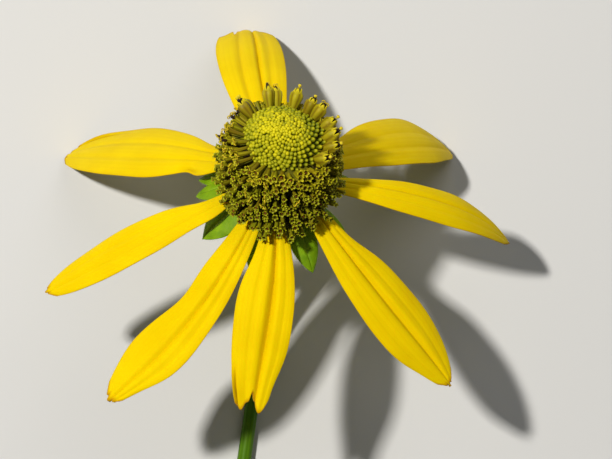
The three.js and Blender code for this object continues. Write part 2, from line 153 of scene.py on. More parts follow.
class Finish:
    """A material under construction: its Principled shader, plant skin and short ways to add nodes."""

    def __init__(self, name, roughness, patch, grain, subsurface=0.0, glow=(1, 0.6, 0.1)):
        self.material = bpy.data.materials.new(name)
        self.material.use_nodes = True
        self.nodes, self.links = self.material.node_tree.nodes, self.material.node_tree.links
        self.shader = self.nodes["Principled BSDF"]
        self.shader.inputs["Roughness"].default_value = roughness
        self.shader.inputs["Subsurface Weight"].default_value = subsurface
        self.shader.inputs["Subsurface Radius"].default_value = glow
        self.shader.inputs["Subsurface Scale"].default_value = SKIN_SCATTER
        self.shader.inputs["Specular IOR Level"].default_value = SKIN_SHEEN
        self.skin = self.nodes.new("ShaderNodeGroup")
        self.skin.node_tree = SKIN
        self.skin.inputs["Patch size"].default_value = patch
        self.skin.inputs["Grain"].default_value = grain
        self.links.new(self.skin.outputs["Normal"], self.shader.inputs["Normal"])

    def value(self, name):
        """The number that the mesh carries at each point under that name."""
        node = self.nodes.new("ShaderNodeAttribute")
        node.attribute_name = name
        return node.outputs["Fac"]

    def curve(self, source, *stops):
        """A colour ramp over source, from (place, (r, g, b)) stops."""
        node = self.nodes.new("ShaderNodeValToRGB")
        while len(node.color_ramp.elements) < len(stops):
            node.color_ramp.elements.new(0.5)
        for element, (place, colour) in zip(node.color_ramp.elements, stops):
            element.position = place
            element.color = (*colour, 1)
        self.links.new(source, node.inputs["Fac"])
        return node.outputs["Color"]

    def mottled(self, dark, light):
        """Two tones in soft patches."""
        return self.curve(self.skin.outputs["Mottle"], (0.3, dark), (0.7, light))

    def mask(self, source, low, high, reach=1.0):
        """Source as a mask: 0 at low, reach at high, straight in between."""
        node = self.nodes.new("ShaderNodeMapRange")
        node.inputs["From Min"].default_value = low
        node.inputs["From Max"].default_value = high
        node.inputs["To Max"].default_value = reach
        self.links.new(source, node.inputs["Value"])
        return node.outputs["Result"]

    def mix(self, mask, first, second):
        """Two colours mixed by a mask: first where it is 0, second where it is 1. A colour may be a plain
        (r, g, b)."""
        node = self.nodes.new("ShaderNodeMix")
        node.data_type = "RGBA"
        for socket, what in zip((node.inputs[0], node.inputs[6], node.inputs[7]), (mask, first, second)):
            if isinstance(what, tuple):
                socket.default_value = (*what, 1)
            else:
                self.links.new(what, socket)
        return node.outputs[2]

    def painted(self, colour):
        """The finished material, with colour as its Base Color."""
        self.links.new(colour, self.shader.inputs["Base Color"])
        return self.material


def stem_route():
    """Points at even steps of a cubic curve from the neck to the landing, then along a straight line."""
    axis = HEAD_AXES[:, 2]
    trail = np.array([np.cos(STEM_HEADING), np.sin(STEM_HEADING), 0])
    neck = HEAD_CENTRE + STEM_NECK * axis
    landing = neck + STEM_LANDING * trail
    landing[2] = STEM_LIE
    t = np.linspace(0, 1, STEM_STEPS)[:, None]
    knots = neck, neck - STEM_LEAVING * axis, landing - STEM_ARRIVING * trail, landing
    weights = (1 - t) ** 3, 3 * t * (1 - t) ** 2, 3 * t * t * (1 - t), t ** 3
    bow = sum(weight * knot for weight, knot in zip(weights, knots))
    return np.concatenate([bow, landing + t[1:] * STEM_TRAIL * trail])


def stem_mesh():
    """Rings round the route: a radius that swells in two slow waves and dips in narrow furrows, and a
    slanted cut at the end. Gives the points, how deep each lies in a furrow and its way along."""
    route = stem_route()
    along = np.gradient(route, axis=0)
    along /= np.linalg.norm(along, axis=1)[:, None]
    side = np.cross([0, 0, 1], along)
    side /= np.linalg.norm(side, axis=1)[:, None]
    up = np.cross(along, side)
    angle = np.linspace(0, 2 * np.pi, STEM_SIDES, endpoint=False)
    length = np.concatenate([[0], np.cumsum(np.linalg.norm(np.diff(route, axis=0), axis=1))])
    swell = 1 + STEM_SWELL * np.sin(length / STEM_SWELL_REACH)
    swell = swell + STEM_RIPPLE * np.sin(length / STEM_RIPPLE_REACH + 1)
    furrow = 0.5 + 0.5 * np.cos(STEM_FURROWS * angle)
    radius = STEM_GIRTH * swell[:, None] * (1 - STEM_FURROW_DEPTH * furrow ** 3)
    across, lift = radius * np.cos(angle), radius * np.sin(angle)
    slant = np.zeros(len(route))
    slant[-1] = STEM_CUT
    points = (route[:, None] + across[..., None] * side[:, None] + lift[..., None] * up[:, None]
              + (slant[:, None] * lift)[..., None] * along[:, None])
    points[..., 2] = np.maximum(points[..., 2], CLEARANCE)
    way = length[:, None] / length[-1]
    return points, np.broadcast_to(furrow, radius.shape), np.broadcast_to(way, radius.shape)


LEAF_GLOW = (0.4, 1, 0.1)
STEM_GREENS = (0.06, 0.16, 0.003), (0.11, 0.23, 0.005)
STEM_YOUNG_GREEN = (0.13, 0.23, 0.008)
# The deep green of painted shade in the stem's furrows.
STEM_FURROW_SHADE = (0.035, 0.1, 0.003)
PITH_GREENS = (0.42, 0.5, 0.16), (0.62, 0.66, 0.34)


def stem_finish():
    """Fresh green skin, paler and yellower near the head, with painted shade a little darker in the
    furrows.
    """
    f = Finish("stem_skin", 0.42, patch=260, grain=0.15, subsurface=0.1, glow=LEAF_GLOW)
    fresh = f.mix(f.mask(f.value("way"), 0.35, 0.0, 0.5), f.mottled(*STEM_GREENS), STEM_YOUNG_GREEN)
    # Painted shade: the furrows are darkened towards a deep green.
    return f.painted(f.mix(f.mask(f.value("furrow"), 0.5, 1, 0.45), fresh, STEM_FURROW_SHADE))


def plain_finish(name, roughness, dark, light, patch=1500, grain=0.5):
    """A plain skin of two mottled tones, as on the pale moist pith of the cut."""
    f = Finish(name, roughness, patch=patch, grain=grain)
    return f.painted(f.mottled(dark, light))


stem_points, stem_furrow, stem_way = stem_mesh()
stem_count = stem_furrow.size
stem_ends = stem_points[[0, -1]].mean(1)
stem_faces = [quads(len(stem_points), STEM_SIDES, ring=True),
              fan(np.arange(STEM_SIDES)[::-1], stem_count),
              fan(np.arange(STEM_SIDES) + stem_count - STEM_SIDES, stem_count + 1)]
stem_which = np.repeat([0, 0, 1], [len(block) for block in stem_faces])
add_piece(
    "stem_stalk", np.concatenate([stem_points.reshape(-1, 3), stem_ends]), stem_faces,
    [stem_finish(), plain_finish("stem_pith", 0.5, *PITH_GREENS, patch=1800, grain=0.6)],
    {"furrow": np.append(stem_furrow, [0, 0]), "way": np.append(stem_way, [0, 1])},
    ["stem"], stem_which)

# Involucre
# The green cup that ends the stem and carries the head, with about ten leafy pointed bracts in an
# uneven ring, each with a pale midrib and short side veins. The bracts grow out of the cup's wall.
CUP = np.array([[0, 0.65], [5.4, 0.65], [5.4, -0.65], [5.9, -0.65], [6.35, -1.4], [5.6, -2.4],
                [4.2, -3.25], [2.9, -3.8], [1.9, -4.2], [1.25, -4.45], [0, -4.45]]) * MM
BRACTS = [(15, 10, 3.6), (65, 10, 3.6), (88, 9, 3.2), (125, 10, 3.6), (157, 9.2, 3.8),
          (172, 8.6, 3.8), (207, 9, 5.2), (250, 9, 3.4), (292, 9, 4), (323, 9.6, 3.4)]
BRACT_DROOP = (30, 42)
BRACT_ROOT = (5 * MM, -1.5 * MM)
BRACT_SHAPE = (0.4, 0.7, 0.02)
BRACT_ARCH = 0.12
BRACT_KEEL = 0.16 * MM
BRACT_KEEL_WIDTH = 0.09
BRACT_VEINS = 6
BRACT_VEIN_DEPTH = 0.05 * MM
BRACT_VEIN_SLANT = 0.9
BRACT_WAVE = 0.12 * MM
BRACT_HALF_THICKNESS = 0.2
BRACT_EDGE_THINNING = 0.13
HAIRS = 44
HAIR_RADIUS = 0.025 * MM
HAIR_SUNK = 0.08 * MM
HAIR_LENGTHS = (0.2, 0.42)
HAIR_LEANS = (0.4, 1.3)
HAIR_UNEVEN = 0.25


def width_share(s, widest, root, tip):
    """Share of the greatest width at a share s of the length: the 1.25th power of a sine that rises from
    root to 1 at the widest place, then a fall to tip with the 2.3rd power."""
    rise = root + (1 - root) * np.sin(np.pi / 2 * np.clip(s / widest, 0, 1)) ** 1.25
    fall = 1 - (1 - tip) * np.clip((s - widest) / (1 - widest), 0, 1) ** 2.3
    return np.where(s < widest, rise, fall)


def hump(x, place, width):
    """A smooth bump of height 1 about place: e to minus the square of the distance in widths."""
    return np.exp(-(((x - place) / width) ** 2))


def midrib(azimuth, length, droop, turn, twist, root, steps=240):
    """The middle line of a blade and its side and up directions. Droop runs from its first to its second
    value with the 1.3rd power of the way, and the heading turns evenly."""
    t = np.linspace(0, 1, steps + 1)
    dip = np.radians(droop[0] + (droop[1] - droop[0]) * t ** 1.3)
    heading = np.radians(azimuth + turn * t)
    along = np.stack([np.cos(dip) * np.cos(heading), np.cos(dip) * np.sin(heading), -np.sin(dip)], -1)
    side = np.stack([-np.sin(heading), np.cos(heading), 0 * heading], -1)
    up = np.cross(along, side)
    roll = np.radians(twist * t)[:, None]
    side, up = side * np.cos(roll) + up * np.sin(roll), up * np.cos(roll) - side * np.sin(roll)
    start = np.array([root[0] * np.cos(heading[0]), root[0] * np.sin(heading[0]), root[1]])
    steps_taken = np.cumsum(along[1:] * length / steps, 0)
    return start + np.concatenate([np.zeros((1, 3)), steps_taken]), side, up


def at_share(line, s):
    """Values along a line of even steps, read in straight stretches at shares s of it."""
    t = np.linspace(0, 1, len(line))
    return np.stack([np.interp(s, t, line[:, k]) for k in range(3)], -1)


def thin_sheet(middle, half):
    """A closed sheet about a surface: both faces at half its thickness along the normal, and a rim. Gives
    points and faces."""
    rows, columns = half.shape
    along, across = np.gradient(middle, axis=0), np.gradient(middle, axis=1)
    normal = np.cross(along, across)
    normal /= np.linalg.norm(normal, axis=-1)[..., None] + 1e-12
    points = np.concatenate([(middle + normal * half[..., None]).reshape(-1, 3),
                             (middle - normal * half[..., None]).reshape(-1, 3)])
    cells = quads(rows, columns)
    under = rows * columns
    number = np.arange(under).reshape(rows, columns)
    border = np.concatenate([number[:-1, 0], number[-1, :-1], number[:0:-1, -1], number[0, :0:-1]])
    after = np.roll(border, -1)
    rim = np.stack([border, border + under, after + under, after], -1)
    return points, [cells[:, ::-1], cells + under, rim]


def bract_mesh(azimuth, length, width, rows=44, columns=25):
    """A pointed leaf, with s along it and q across it from -1 to 1: width by width_share, raised by a
    parabola across, with a keel at the midrib, side veins as small furrows, and a margin that waves as a
    sine. Gives the sheet's points and faces, its veins and way along at each point, and the surface in
    its middle."""
    line, side, up = midrib(azimuth, length * MM, BRACT_DROOP, 0, 0, BRACT_ROOT)
    s, q = np.meshgrid(np.linspace(0, 1, rows), np.linspace(-1, 1, columns), indexing="ij")
    s = s * (1 - 0.05 * q * q)
    half_width = width * MM / 2 * width_share(s, *BRACT_SHAPE)
    vein = hump((s * BRACT_VEINS - np.abs(q) * BRACT_VEIN_SLANT) % 1, 0.5, 0.12) * np.abs(q) * (1 - q ** 4)
    keel = hump(q, 0, BRACT_KEEL_WIDTH)
    lift = BRACT_ARCH * half_width * (1 - q * q) - BRACT_KEEL * keel - BRACT_VEIN_DEPTH * vein
    lift += BRACT_WAVE * q ** 3 * np.sin(9 * s + azimuth)
    middle = (at_share(line, s) + (q * half_width)[..., None] * at_share(side, s)
              + lift[..., None] * at_share(up, s))
    half = (BRACT_HALF_THICKNESS - BRACT_EDGE_THINNING * q ** 4) * MM * np.clip((1.02 - s) * 6, 0.3, 1)
    points, faces = thin_sheet(middle, half)
    veins = np.maximum(keel, 0.45 * vein)
    return points, faces, np.tile(veins.ravel(), 2), np.tile(s.ravel(), 2), middle


def margin_hairs(middle):
    """Short stiff hairs on both margins of a leaf: slim three-sided cones, rooted just inside the edge,
    that stand outwards and lean towards the tip. Gives points and faces."""
    rows = np.linspace(2, len(middle) - 3, HAIRS).astype(int)
    roots = np.concatenate([middle[rows, 0], middle[rows, -1]])
    outwards = np.concatenate([middle[rows, 0] - middle[rows, 2], middle[rows, -1] - middle[rows, -3]])
    onwards = np.tile((middle[rows + 2] - middle[rows])[:, middle.shape[1] // 2], (2, 1))
    outwards, onwards = (v / np.linalg.norm(v, axis=1)[:, None] for v in (outwards, onwards))
    aims = outwards + onwards * rng.uniform(*HAIR_LEANS, (len(roots), 1))
    aims = aims + rng.normal(0, HAIR_UNEVEN, roots.shape)
    aims /= np.linalg.norm(aims, axis=1)[:, None]
    side = np.cross(aims, onwards + 0.3)
    side /= np.linalg.norm(side, axis=1)[:, None]
    up = np.cross(aims, side)
    turn = np.arange(3) * 2 * np.pi / 3
    foot = HAIR_RADIUS * (np.cos(turn)[:, None] * side[:, None] + np.sin(turn)[:, None] * up[:, None])
    length = rng.uniform(*HAIR_LENGTHS, len(roots))[:, None] * MM
    base = (roots - HAIR_SUNK * outwards)[:, None] + foot
    points = np.concatenate([base, (roots + aims * length)[:, None]], 1).reshape(-1, 3)
    starts = np.arange(len(roots))[:, None, None] * 4
    return points, [(np.array([[0, 1, 3], [1, 2, 3], [2, 0, 3], [0, 2, 1]]) + starts).reshape(-1, 3)]


def gathered(parts):
    """Several (points, faces, further values) parts as one, with their corner numbers moved on."""
    starts = np.cumsum([0] + [len(part[0]) for part in parts[:-1]])
    faces = [block + start for part, start in zip(parts, starts) for block in part[1]]
    return (np.concatenate([part[0] for part in parts]), faces,
            *(np.concatenate([part[k] for part in parts]) for k in range(2, len(parts[0]))))


BRACT_GREENS = (0.12, 0.235, 0.002), (0.22, 0.38, 0.004)
BRACT_ROOT_GREEN = (0.05, 0.10, 0.002)
BRACT_VEIN_GREEN = (0.34, 0.46, 0.05)
CUP_TONE = 0.3
HAIR_WHITES = (0.45, 0.52, 0.28), (0.6, 0.66, 0.42)


def bract_finish():
    """Leaf green, darker towards the root, with a pale midrib and faint side veins."""
    f = Finish("bract_leaf", 0.5, patch=500, grain=0.5, subsurface=0.12, glow=LEAF_GLOW)
    root = f.mix(f.mask(f.value("way"), 0.5, 0.1, 0.6), f.mottled(*BRACT_GREENS), BRACT_ROOT_GREEN)
    return f.painted(f.mix(f.mask(f.value("vein"), 0.15, 1, 0.6), root, BRACT_VEIN_GREEN))


def turned(profile, sides, smooth=4):
    """A closed turned form about the flower's axis from an outline of radius and height, each stretch of
    it split into smooth steps."""
    t = np.arange(len(profile) * smooth - smooth + 1) / smooth
    outline = np.stack([np.interp(t, np.arange(len(profile)), profile[:, k]) for k in (0, 1)], -1)[1:-1]
    angle = np.linspace(0, 2 * np.pi, sides, endpoint=False)
    rings = np.stack([outline[:, :1] * np.cos(angle), outline[:, :1] * np.sin(angle),
                      np.broadcast_to(outline[:, 1:], (len(outline), sides))], -1)
    poles = np.array([[0, 0, profile[0, 1]], [0, 0, profile[-1, 1]]])
    count = len(outline) * sides
    faces = [quads(len(outline), sides, ring=True)[:, ::-1], fan(np.arange(sides), count),
             fan(np.arange(sides)[::-1] + count - sides, count + 1)]
    return np.concatenate([rings.reshape(-1, 3), poles]), faces


cup_points, cup_faces = turned(CUP, sides=64)
bract_parts = [bract_mesh(*bract) for bract in BRACTS]
involucre_parts = [(cup_points, cup_faces, np.zeros(len(cup_points)), np.full(len(cup_points), CUP_TONE))]
involucre_parts += [part[:4] for part in bract_parts]
involucre_points, involucre_faces, involucre_vein, involucre_way = gathered(involucre_parts)
add_piece(
    "involucre_bracts", from_head(involucre_points), involucre_faces, [bract_finish()],
    {"vein": involucre_vein, "way": involucre_way}, ["involucre"])

rng = np.random.default_rng(seed=7)
hair_points, hair_faces = gathered([margin_hairs(part[4]) for part in bract_parts])
hair_white = plain_finish("hair_white", 0.6, *HAIR_WHITES)
add_piece("involucre_hairs", from_head(hair_points), hair_faces, [hair_white], {}, ["involucre"])

# Rays
# Eight yellow ligules in one ring between the cup and the disc, each a soft blade with two folds along
# it, fine nerves and a small notched tip. Three of them droop to the surface and carry the head.
RAY_ROOT = (6 * MM, 0.0)
RAYS = {
    "ray_back": dict(azimuth=100.5, droop=(5, 43), turn=-10, twist=0, length=33.8, width=10,
                     shape=(0.62, 0.5, 0.66), grooves=[(-0.22, 0.65, 0.08), (0.3, 0.4), (-0.55, 0.2)],
                     notches=[(-0.25, 0.01, 0.1), (0.42, 0.09, 0.06), (0.78, 0.07, 0.3), (-1, 0.03, 0.35)]),
    "ray_right_back": dict(azimuth=34, droop=(20, 60), turn=8, twist=10, length=36, width=8.9,
                           shape=(0.58, 0.62, 0.14), grooves=[(-0.32, 0.2), (0.32, 0.15)],
                           bulges=[(1, 0.65, 0.25, 0.15), (1, 0.17, 0.1, -0.25), (-1, 0.85, 0.15, -0.15)]),
    "ray_right": dict(azimuth=-5, droop=(8, 60), turn=16, twist=0, length=34.2, width=5.8,
                      shape=(0.5, 0.42, 0.15), grooves=[(-0.32, 0.1), (0.3, 0.3)],
                      bulges=[(1, 0.72, 0.2, 0.2)]),
    "ray_front_right": dict(azimuth=-48.5, droop=(26, 38), turn=10, twist=0, length=33, width=9.1,
                            shape=(0.62, 0.31, 0.12), grooves=[(0.08, 0.6), (0.5, 0.12), (-0.5, 0.1)],
                            bulges=[(1, 0.2, 0.12, -0.2), (-1, 0.45, 0.3, -0.06), (-1, 0.88, 0.1, -0.15)]),
    "ray_front": dict(azimuth=264, droop=(24, 42), turn=-5, twist=0, length=28.6, width=8.7,
                      shape=(0.5, 0.34, 0.46), grooves=[(0.12, 0.85, 0.14), (-0.4, 0.15), (0.6, 0.1)],
                      notches=[(-0.12, 0.05, 0.09), (-0.25, 0.06, 0.45), (0.1, 0.03, 0.2),
                               (-0.7, -0.025, 0.2), (1, 0.04, 0.25)],
                      curls=[(-1, 0.88, 0.11, 0.8)],
                      bulges=[(1, 0.5, 0.4, -0.1), (1, 0.88, 0.15, -0.25), (-1, 0.2, 0.12, -0.15)]),
    "ray_front_left": dict(azimuth=237.5, droop=(35, 30), turn=-28, twist=0, length=35, width=8,
                           shape=(0.7, 0.36, 0.3), grooves=[(0.1, 0.5), (0.55, 0.2)],
                           bulges=[(-1, 0.47, 0.13, -0.25), (-1, 0.76, 0.12, 0.1), (1, 0.92, 0.14, -0.35),
                                   (1, 0.68, 0.15, 0.05)]),
    "ray_left": dict(azimuth=199.8, droop=(17, 40), turn=-10, twist=0, length=32.5, width=6.5,
                     shape=(0.62, 0.3, 0.25), grooves=[(-0.32, 0.1), (0.3, 0.16)],
                     bulges=[(-1, 0.14, 0.1, -0.35), (-1, 0.8, 0.25, -0.15), (1, 0.13, 0.1, 0.3)]),
    "ray_left_back": dict(azimuth=149, droop=(28, 47), turn=-8, twist=0, length=40, width=9.8,
                          shape=(0.55, 0.3, 0.2), grooves=[(-0.32, 0.22), (0.32, 0.2)],
                          curls=[(-1, 0.86, 0.14, 0.75), (1, 0.2, 0.05, -0.5)],
                          bulges=[(-1, 0.6, 0.3, 0.12), (1, 0.38, 0.13, 0.08), (1, 0.13, 0.06, 0.35),
                                  (1, 0.22, 0.035, -0.16), (-1, 0.18, 0.08, -0.12)]),
}
RAY_NOTCHES = [(-0.3, 0.015, 0.12), (0.3, 0.015, 0.12)]
RAY_GROOVE = 0.12
RAY_NERVES = 13
RAY_NERVE_DEPTH = 0.014 * MM
RAY_ARCH = 0.15
RAY_CLAW = 1.4
RAY_SWAY = 0.04
RAY_WAVES = (0.1, 0.05)
RAY_CREASE = 0.86
RAY_CREASE_WIDTH = 0.06
RAY_CREASE_DEPTH = 0.3
# Strength of the painted shade in the crease beside a rolled edge.
RAY_CREASE_SHADE = 1.3
RAY_HALF_THICKNESS = 0.17 * MM


def ray_mesh(azimuth, droop, turn, twist, length, width, shape, grooves,
             notches=None, bulges=(), curls=(), rows=170, columns=81):
    """A ligule, with s along it and q across it from -1 to 1: the midrib's line, a width that narrows to
    a claw at the root and bulges or draws in on either edge, a parabola's arch and smooth grooves that
    fade out at both ends, fine nerves as a cosine across, and edges that wave as sines or roll up beside
    a crease. It lies on the surface where it would sink.

    Angles are in degrees, length and width in millimetres, and shape is what width_share takes. A groove
    is a place across, a depth in millimetres and a width, RAY_GROOVE if none is given. A notch is a place
    across, a share of the length, below 0 for a lobe, and a width. A bulge or a curl is an edge, a place
    along, a reach, and a share of the width or a height in millimetres."""
    line, side, up = midrib(azimuth, length * MM, droop, turn, twist, RAY_ROOT)
    t, q = np.meshgrid(np.linspace(0, 1, rows), np.linspace(-1, 1, columns), indexing="ij")
    s = t * (1 - 0.05 * q * q - sum(d * hump(q, p, w) for p, d, w in notches or RAY_NOTCHES))
    claw = 1 - 0.5 * np.exp(-s * length / RAY_CLAW)
    swell = 1 + sum(a * hump(s, p, w) * ((1 + e * q) / 2) ** 2 for e, p, w, a in bulges)
    half_width = width * MM / 2 * width_share(s, *shape) * claw * swell
    fade = np.sin(np.pi * (0.1 + 0.88 * s)) ** 0.4
    sway = RAY_SWAY * np.sin(5 * s + azimuth)
    fold = sum(d * hump(q, p + sway, *(w or [RAY_GROOVE])) for p, d, *w in grooves) * fade
    roll = sum(a * hump(s, p, w) * np.maximum(0, e * q) ** 4 for e, p, w, a in curls)
    beside = {e: hump(e * q, RAY_CREASE, RAY_CREASE_WIDTH) for e in (-1, 1)}
    crease = sum(abs(a) * hump(s, p, w) * beside[e] for e, p, w, a in curls)
    nerve = 0.5 + 0.5 * np.cos(np.pi * RAY_NERVES * q)
    wave = (np.sin(11 * s + 2 * np.sign(q) + azimuth) * RAY_WAVES[0]
            + np.sin(23 * s - azimuth + q) * RAY_WAVES[1])
    lift = RAY_ARCH * half_width * (1 - q * q) - fold * MM - RAY_NERVE_DEPTH * nerve * fade
    lift += wave * MM * np.abs(q) ** 3 * fade
    lift += (roll - RAY_CREASE_DEPTH * crease) * MM
    middle = (at_share(line, s) + (q * half_width)[..., None] * at_share(side, s)
              + lift[..., None] * at_share(up, s))
    half = RAY_HALF_THICKNESS * (1 - 0.55 * q ** 6)
    middle = from_head(middle)
    middle[..., 2] = np.maximum(middle[..., 2], half + CLEARANCE)
    points, faces = thin_sheet(middle, half)
    # How much painted shade each point gets: the grooves, the rolled edges and, most, the crease beside
    # each roll.
    depth = fold + np.abs(roll) + RAY_CREASE_SHADE * crease
    values = {"across": np.abs(q), "along": t, "fold": depth, "nerve": nerve * fade}
    values = {key: np.tile(value.ravel(), 2) for key, value in values.items()}
    return points, faces, values | {"under": np.repeat([0, 1], t.size)}


RAY_SHEEN = 0.05
RAY_SHEEN_COLOUR = (1, 0.85, 0.15, 1)
RAY_YELLOWS = (0.74, 0.52, 0.0005), (0.81, 0.59, 0.001)
RAY_NERVE_YELLOW = (0.66, 0.42, 0.0004)
# Gold and brown of the painted shade in the folds, the creases and on the rolled edges.
RAY_FOLD_SHADE_GOLD = (0.60, 0.38, 0.0004)
RAY_FOLD_SHADE_BROWN = (0.42, 0.22, 0.001)
RAY_ROOT_GREEN = (0.58, 0.43, 0.003)
RAY_UNDER_YELLOW = (0.60, 0.50, 0.012)
# Painted shade along the margin.
RAY_MARGIN_SHADE = (0.55, 0.28, 0.001)
RAY_TIP_BROWN = (0.40, 0.15, 0.004)


def ray_finish():
    """Clear warm yellow, deeper along the nerves, greener at the root and paler underneath. Painted shade
    darkens it to gold in the folds and to brown in the deepest folds and in the crease beside each rolled
    edge; on the rolled edges the brown is partly real browning, partly painted shade. A thin line of
    painted shade runs along the margin, and the very tip is brown."""
    f = Finish("ray_petal", 0.55, patch=160, grain=0.3, subsurface=0.25)
    f.shader.inputs["Specular IOR Level"].default_value = RAY_SHEEN
    f.shader.inputs["Specular Tint"].default_value = RAY_SHEEN_COLOUR
    nerve = f.mix(f.mask(f.value("nerve"), 0.55, 1, 0.14), f.mottled(*RAY_YELLOWS), RAY_NERVE_YELLOW)
    # Painted shade: gold in the folds, brown in the deepest folds, in the creases and on the rolled edges.
    fold = f.mix(f.mask(f.value("fold"), 0.08, 0.6, 0.35), nerve, RAY_FOLD_SHADE_GOLD)
    deep = f.mix(f.mask(f.value("fold"), 0.5, 1.1, 0.6), fold, RAY_FOLD_SHADE_BROWN)
    root = f.mix(f.mask(f.value("along"), 0.22, 0.02, 0.5), deep, RAY_ROOT_GREEN)
    below = f.mix(f.mask(f.value("under"), 0, 1, 0.55), root, RAY_UNDER_YELLOW)
    # Painted shade: a thin darker line along the margin.
    rim = f.mix(f.mask(f.value("across"), 0.93, 1, 0.35), below, RAY_MARGIN_SHADE)
    return f.painted(f.mix(f.mask(f.value("along"), 0.975, 0.997, 0.7), rim, RAY_TIP_BROWN))


ray_petal = ray_finish()
for ray_name, ray in RAYS.items():
    ray_points, ray_faces, ray_values = ray_mesh(**ray)
    add_piece(ray_name + "_blade", ray_points, ray_faces, [ray_petal], ray_values, [ray_name])

# Disc florets
# The tall receptacle and its open florets, on a rising spiral from the rays to the dome's edge. Each is
# a tube with five lobes, cupped by a stiff scale. The uppermost hold out dark anthers and yellow tips,
# fresh ones behind and at the right, and nearly withered ones at the left back.
CORE = np.array([[0, 8.9], [5.1, 8.9], [6.0, 8.4], [6.6, 7.2], [6.8, 5.5], [6.5, 2.6], [6.1, 0.95],
                 [0, 0.95]]) * MM
FLORETS = 530
FLORET_LENGTH = 3.8
FLORET_TOP = 11.3
FLORET_DROP = 9.6
FLORET_RING = 9.3
FLORET_RISE = 45
FLORET_FALL = 58
FLORET_INSET = 1.4
FLORET_CROWDING = 0.3
FRONT_TURNS = (16, 6)
FRONT_DROPS = (1.1, 1.6)
FRONT_SPREAD = 2.5
FRONT_STRETCH = 0.3
LEFT_TURN = 28
TUCKED_IN = 1.3
TUCKED_DOWN = 0.9
FRESH_FLORETS = 20
FRESH_FRONTS = (0.25, 0.3)
FRESH_LEFT = 0.85
DISC_SHIFT = -0.25
GOLDEN_ANGLE = np.pi * (3 - 5 ** 0.5)


def facing_front(azimuth):
    """How much a place on the head faces the stem side: 1 in front, 0 behind, cubed."""
    return ((1 - np.sin(azimuth)) / 2) ** 3


def facing_left(azimuth):
    """The same for the left side: 1 at the left, 0 at the right."""
    return ((1 - np.cos(azimuth)) / 2) ** 3


def floret_places(count):
    """Root, aim, stretch, way down and azimuth of each floret, and whether it is fresh: even steps of the
    golden angle, drawn together in front, sinking evenly from the dome's edge to the rays while the aim
    turns with the 0.7th power of the way from half upright to outwards, further out in front and at the
    left. The uppermost are fresh, save in front and at the far left. The others behind sit lower and
    further in."""
    number = np.arange(count)
    u = (number + 0.5) / count
    azimuth = number * GOLDEN_ANGLE
    azimuth -= FLORET_CROWDING * u * np.cos(azimuth)
    front = facing_front(azimuth)
    cosine = np.cos(azimuth)
    fresh = (number < FRESH_FLORETS) & (front < FRESH_FRONTS[0] + FRESH_FRONTS[1] * np.maximum(cosine, 0))
    fresh &= cosine > -FRESH_LEFT
    tucked = np.where(fresh, 0, facing_front(-azimuth) * (1 - u) ** 2)
    outwards = FRONT_TURNS[0] * (1 - u) + FRONT_TURNS[1] * u * u
    polar = FLORET_RISE + FLORET_FALL * u ** 0.7 + front * outwards
    polar = np.radians(polar + LEFT_TURN * facing_left(azimuth) * (1 - u) ** 2)
    radius = FLORET_RING - FLORET_INSET * (1 - u) ** 3 * (1 + 0.3 * front)
    radius = radius + FRONT_SPREAD * front * u ** 2 - TUCKED_IN * tucked
    sink = FRONT_DROPS[0] * (1 - u) ** 2 + FRONT_DROPS[1] * u ** 3
    height = FLORET_TOP - FLORET_DROP * u - front * sink - TUCKED_DOWN * tucked
    stretch = 1 + FRONT_STRETCH * front * u ** 2
    aim = np.stack([np.sin(polar) * np.cos(azimuth), np.sin(polar) * np.sin(azimuth), np.cos(polar)], -1)
    mouth = np.stack([radius * np.cos(azimuth) + DISC_SHIFT, radius * np.sin(azimuth), height], -1)
    return (mouth - aim * (FLORET_LENGTH * stretch)[:, None]) * MM, aim, stretch, u, azimuth, fresh


def placed(shape, roots, aims, stretch, spin, bend=0.0):
    """Copies of shape, drawn along +Z, at each root: spun about Z, stretched along it and turned onto
    each aim, with the head's axis above. A bend in radians curls a floret up towards that axis over the
    same chord: its direction turns evenly from half the bend below the aim to half above."""
    side = np.cross([0, 0, 1.0], aims)
    side /= np.linalg.norm(side, axis=1)[:, None]
    up = np.cross(aims, side)
    c, s = np.cos(spin)[:, None], np.sin(spin)[:, None]
    x = shape[..., 0] * c - shape[..., 1] * s
    y = shape[..., 0] * s + shape[..., 1] * c
    length = (FLORET_LENGTH * MM * stretch)[:, None]
    bend = np.broadcast_to(bend, stretch.shape)[:, None] + 1e-6
    turn = bend * (shape[..., 2] * stretch[:, None] / length - 0.5)
    along = length / bend * (np.sin(turn) + np.sin(bend / 2)) - y * np.sin(turn)
    rise = y * np.cos(turn) - length / bend * (np.cos(turn) - np.cos(bend / 2))
    return (roots[:, None] + x[..., None] * side[:, None] + rise[..., None] * up[:, None]
            + along[..., None] * aims[:, None])


def copied(faces, size, count):
    """Face blocks of one shape of size points, repeated for count copies."""
    starts = (np.arange(count) * size)[:, None, None]
    return [(block[None] + starts).reshape(-1, block.shape[1]) for block in faces]


def ringed(rings, poles):
    """Points and faces of a closed form from rings of points, with a pole before and after them. Rings
    and poles may carry copies in front: copies x rings x sides x 3 and copies x 2 x 3."""
    sides, count = rings.shape[-2], rings.shape[-3] * rings.shape[-2]
    points = np.concatenate([rings.reshape(*rings.shape[:-3], count, 3), poles], -2)
    faces = [quads(rings.shape[-3], sides, ring=True), fan(np.arange(sides)[::-1], count),
             fan(np.arange(sides) + count - sides, count + 1)]
    return points, faces


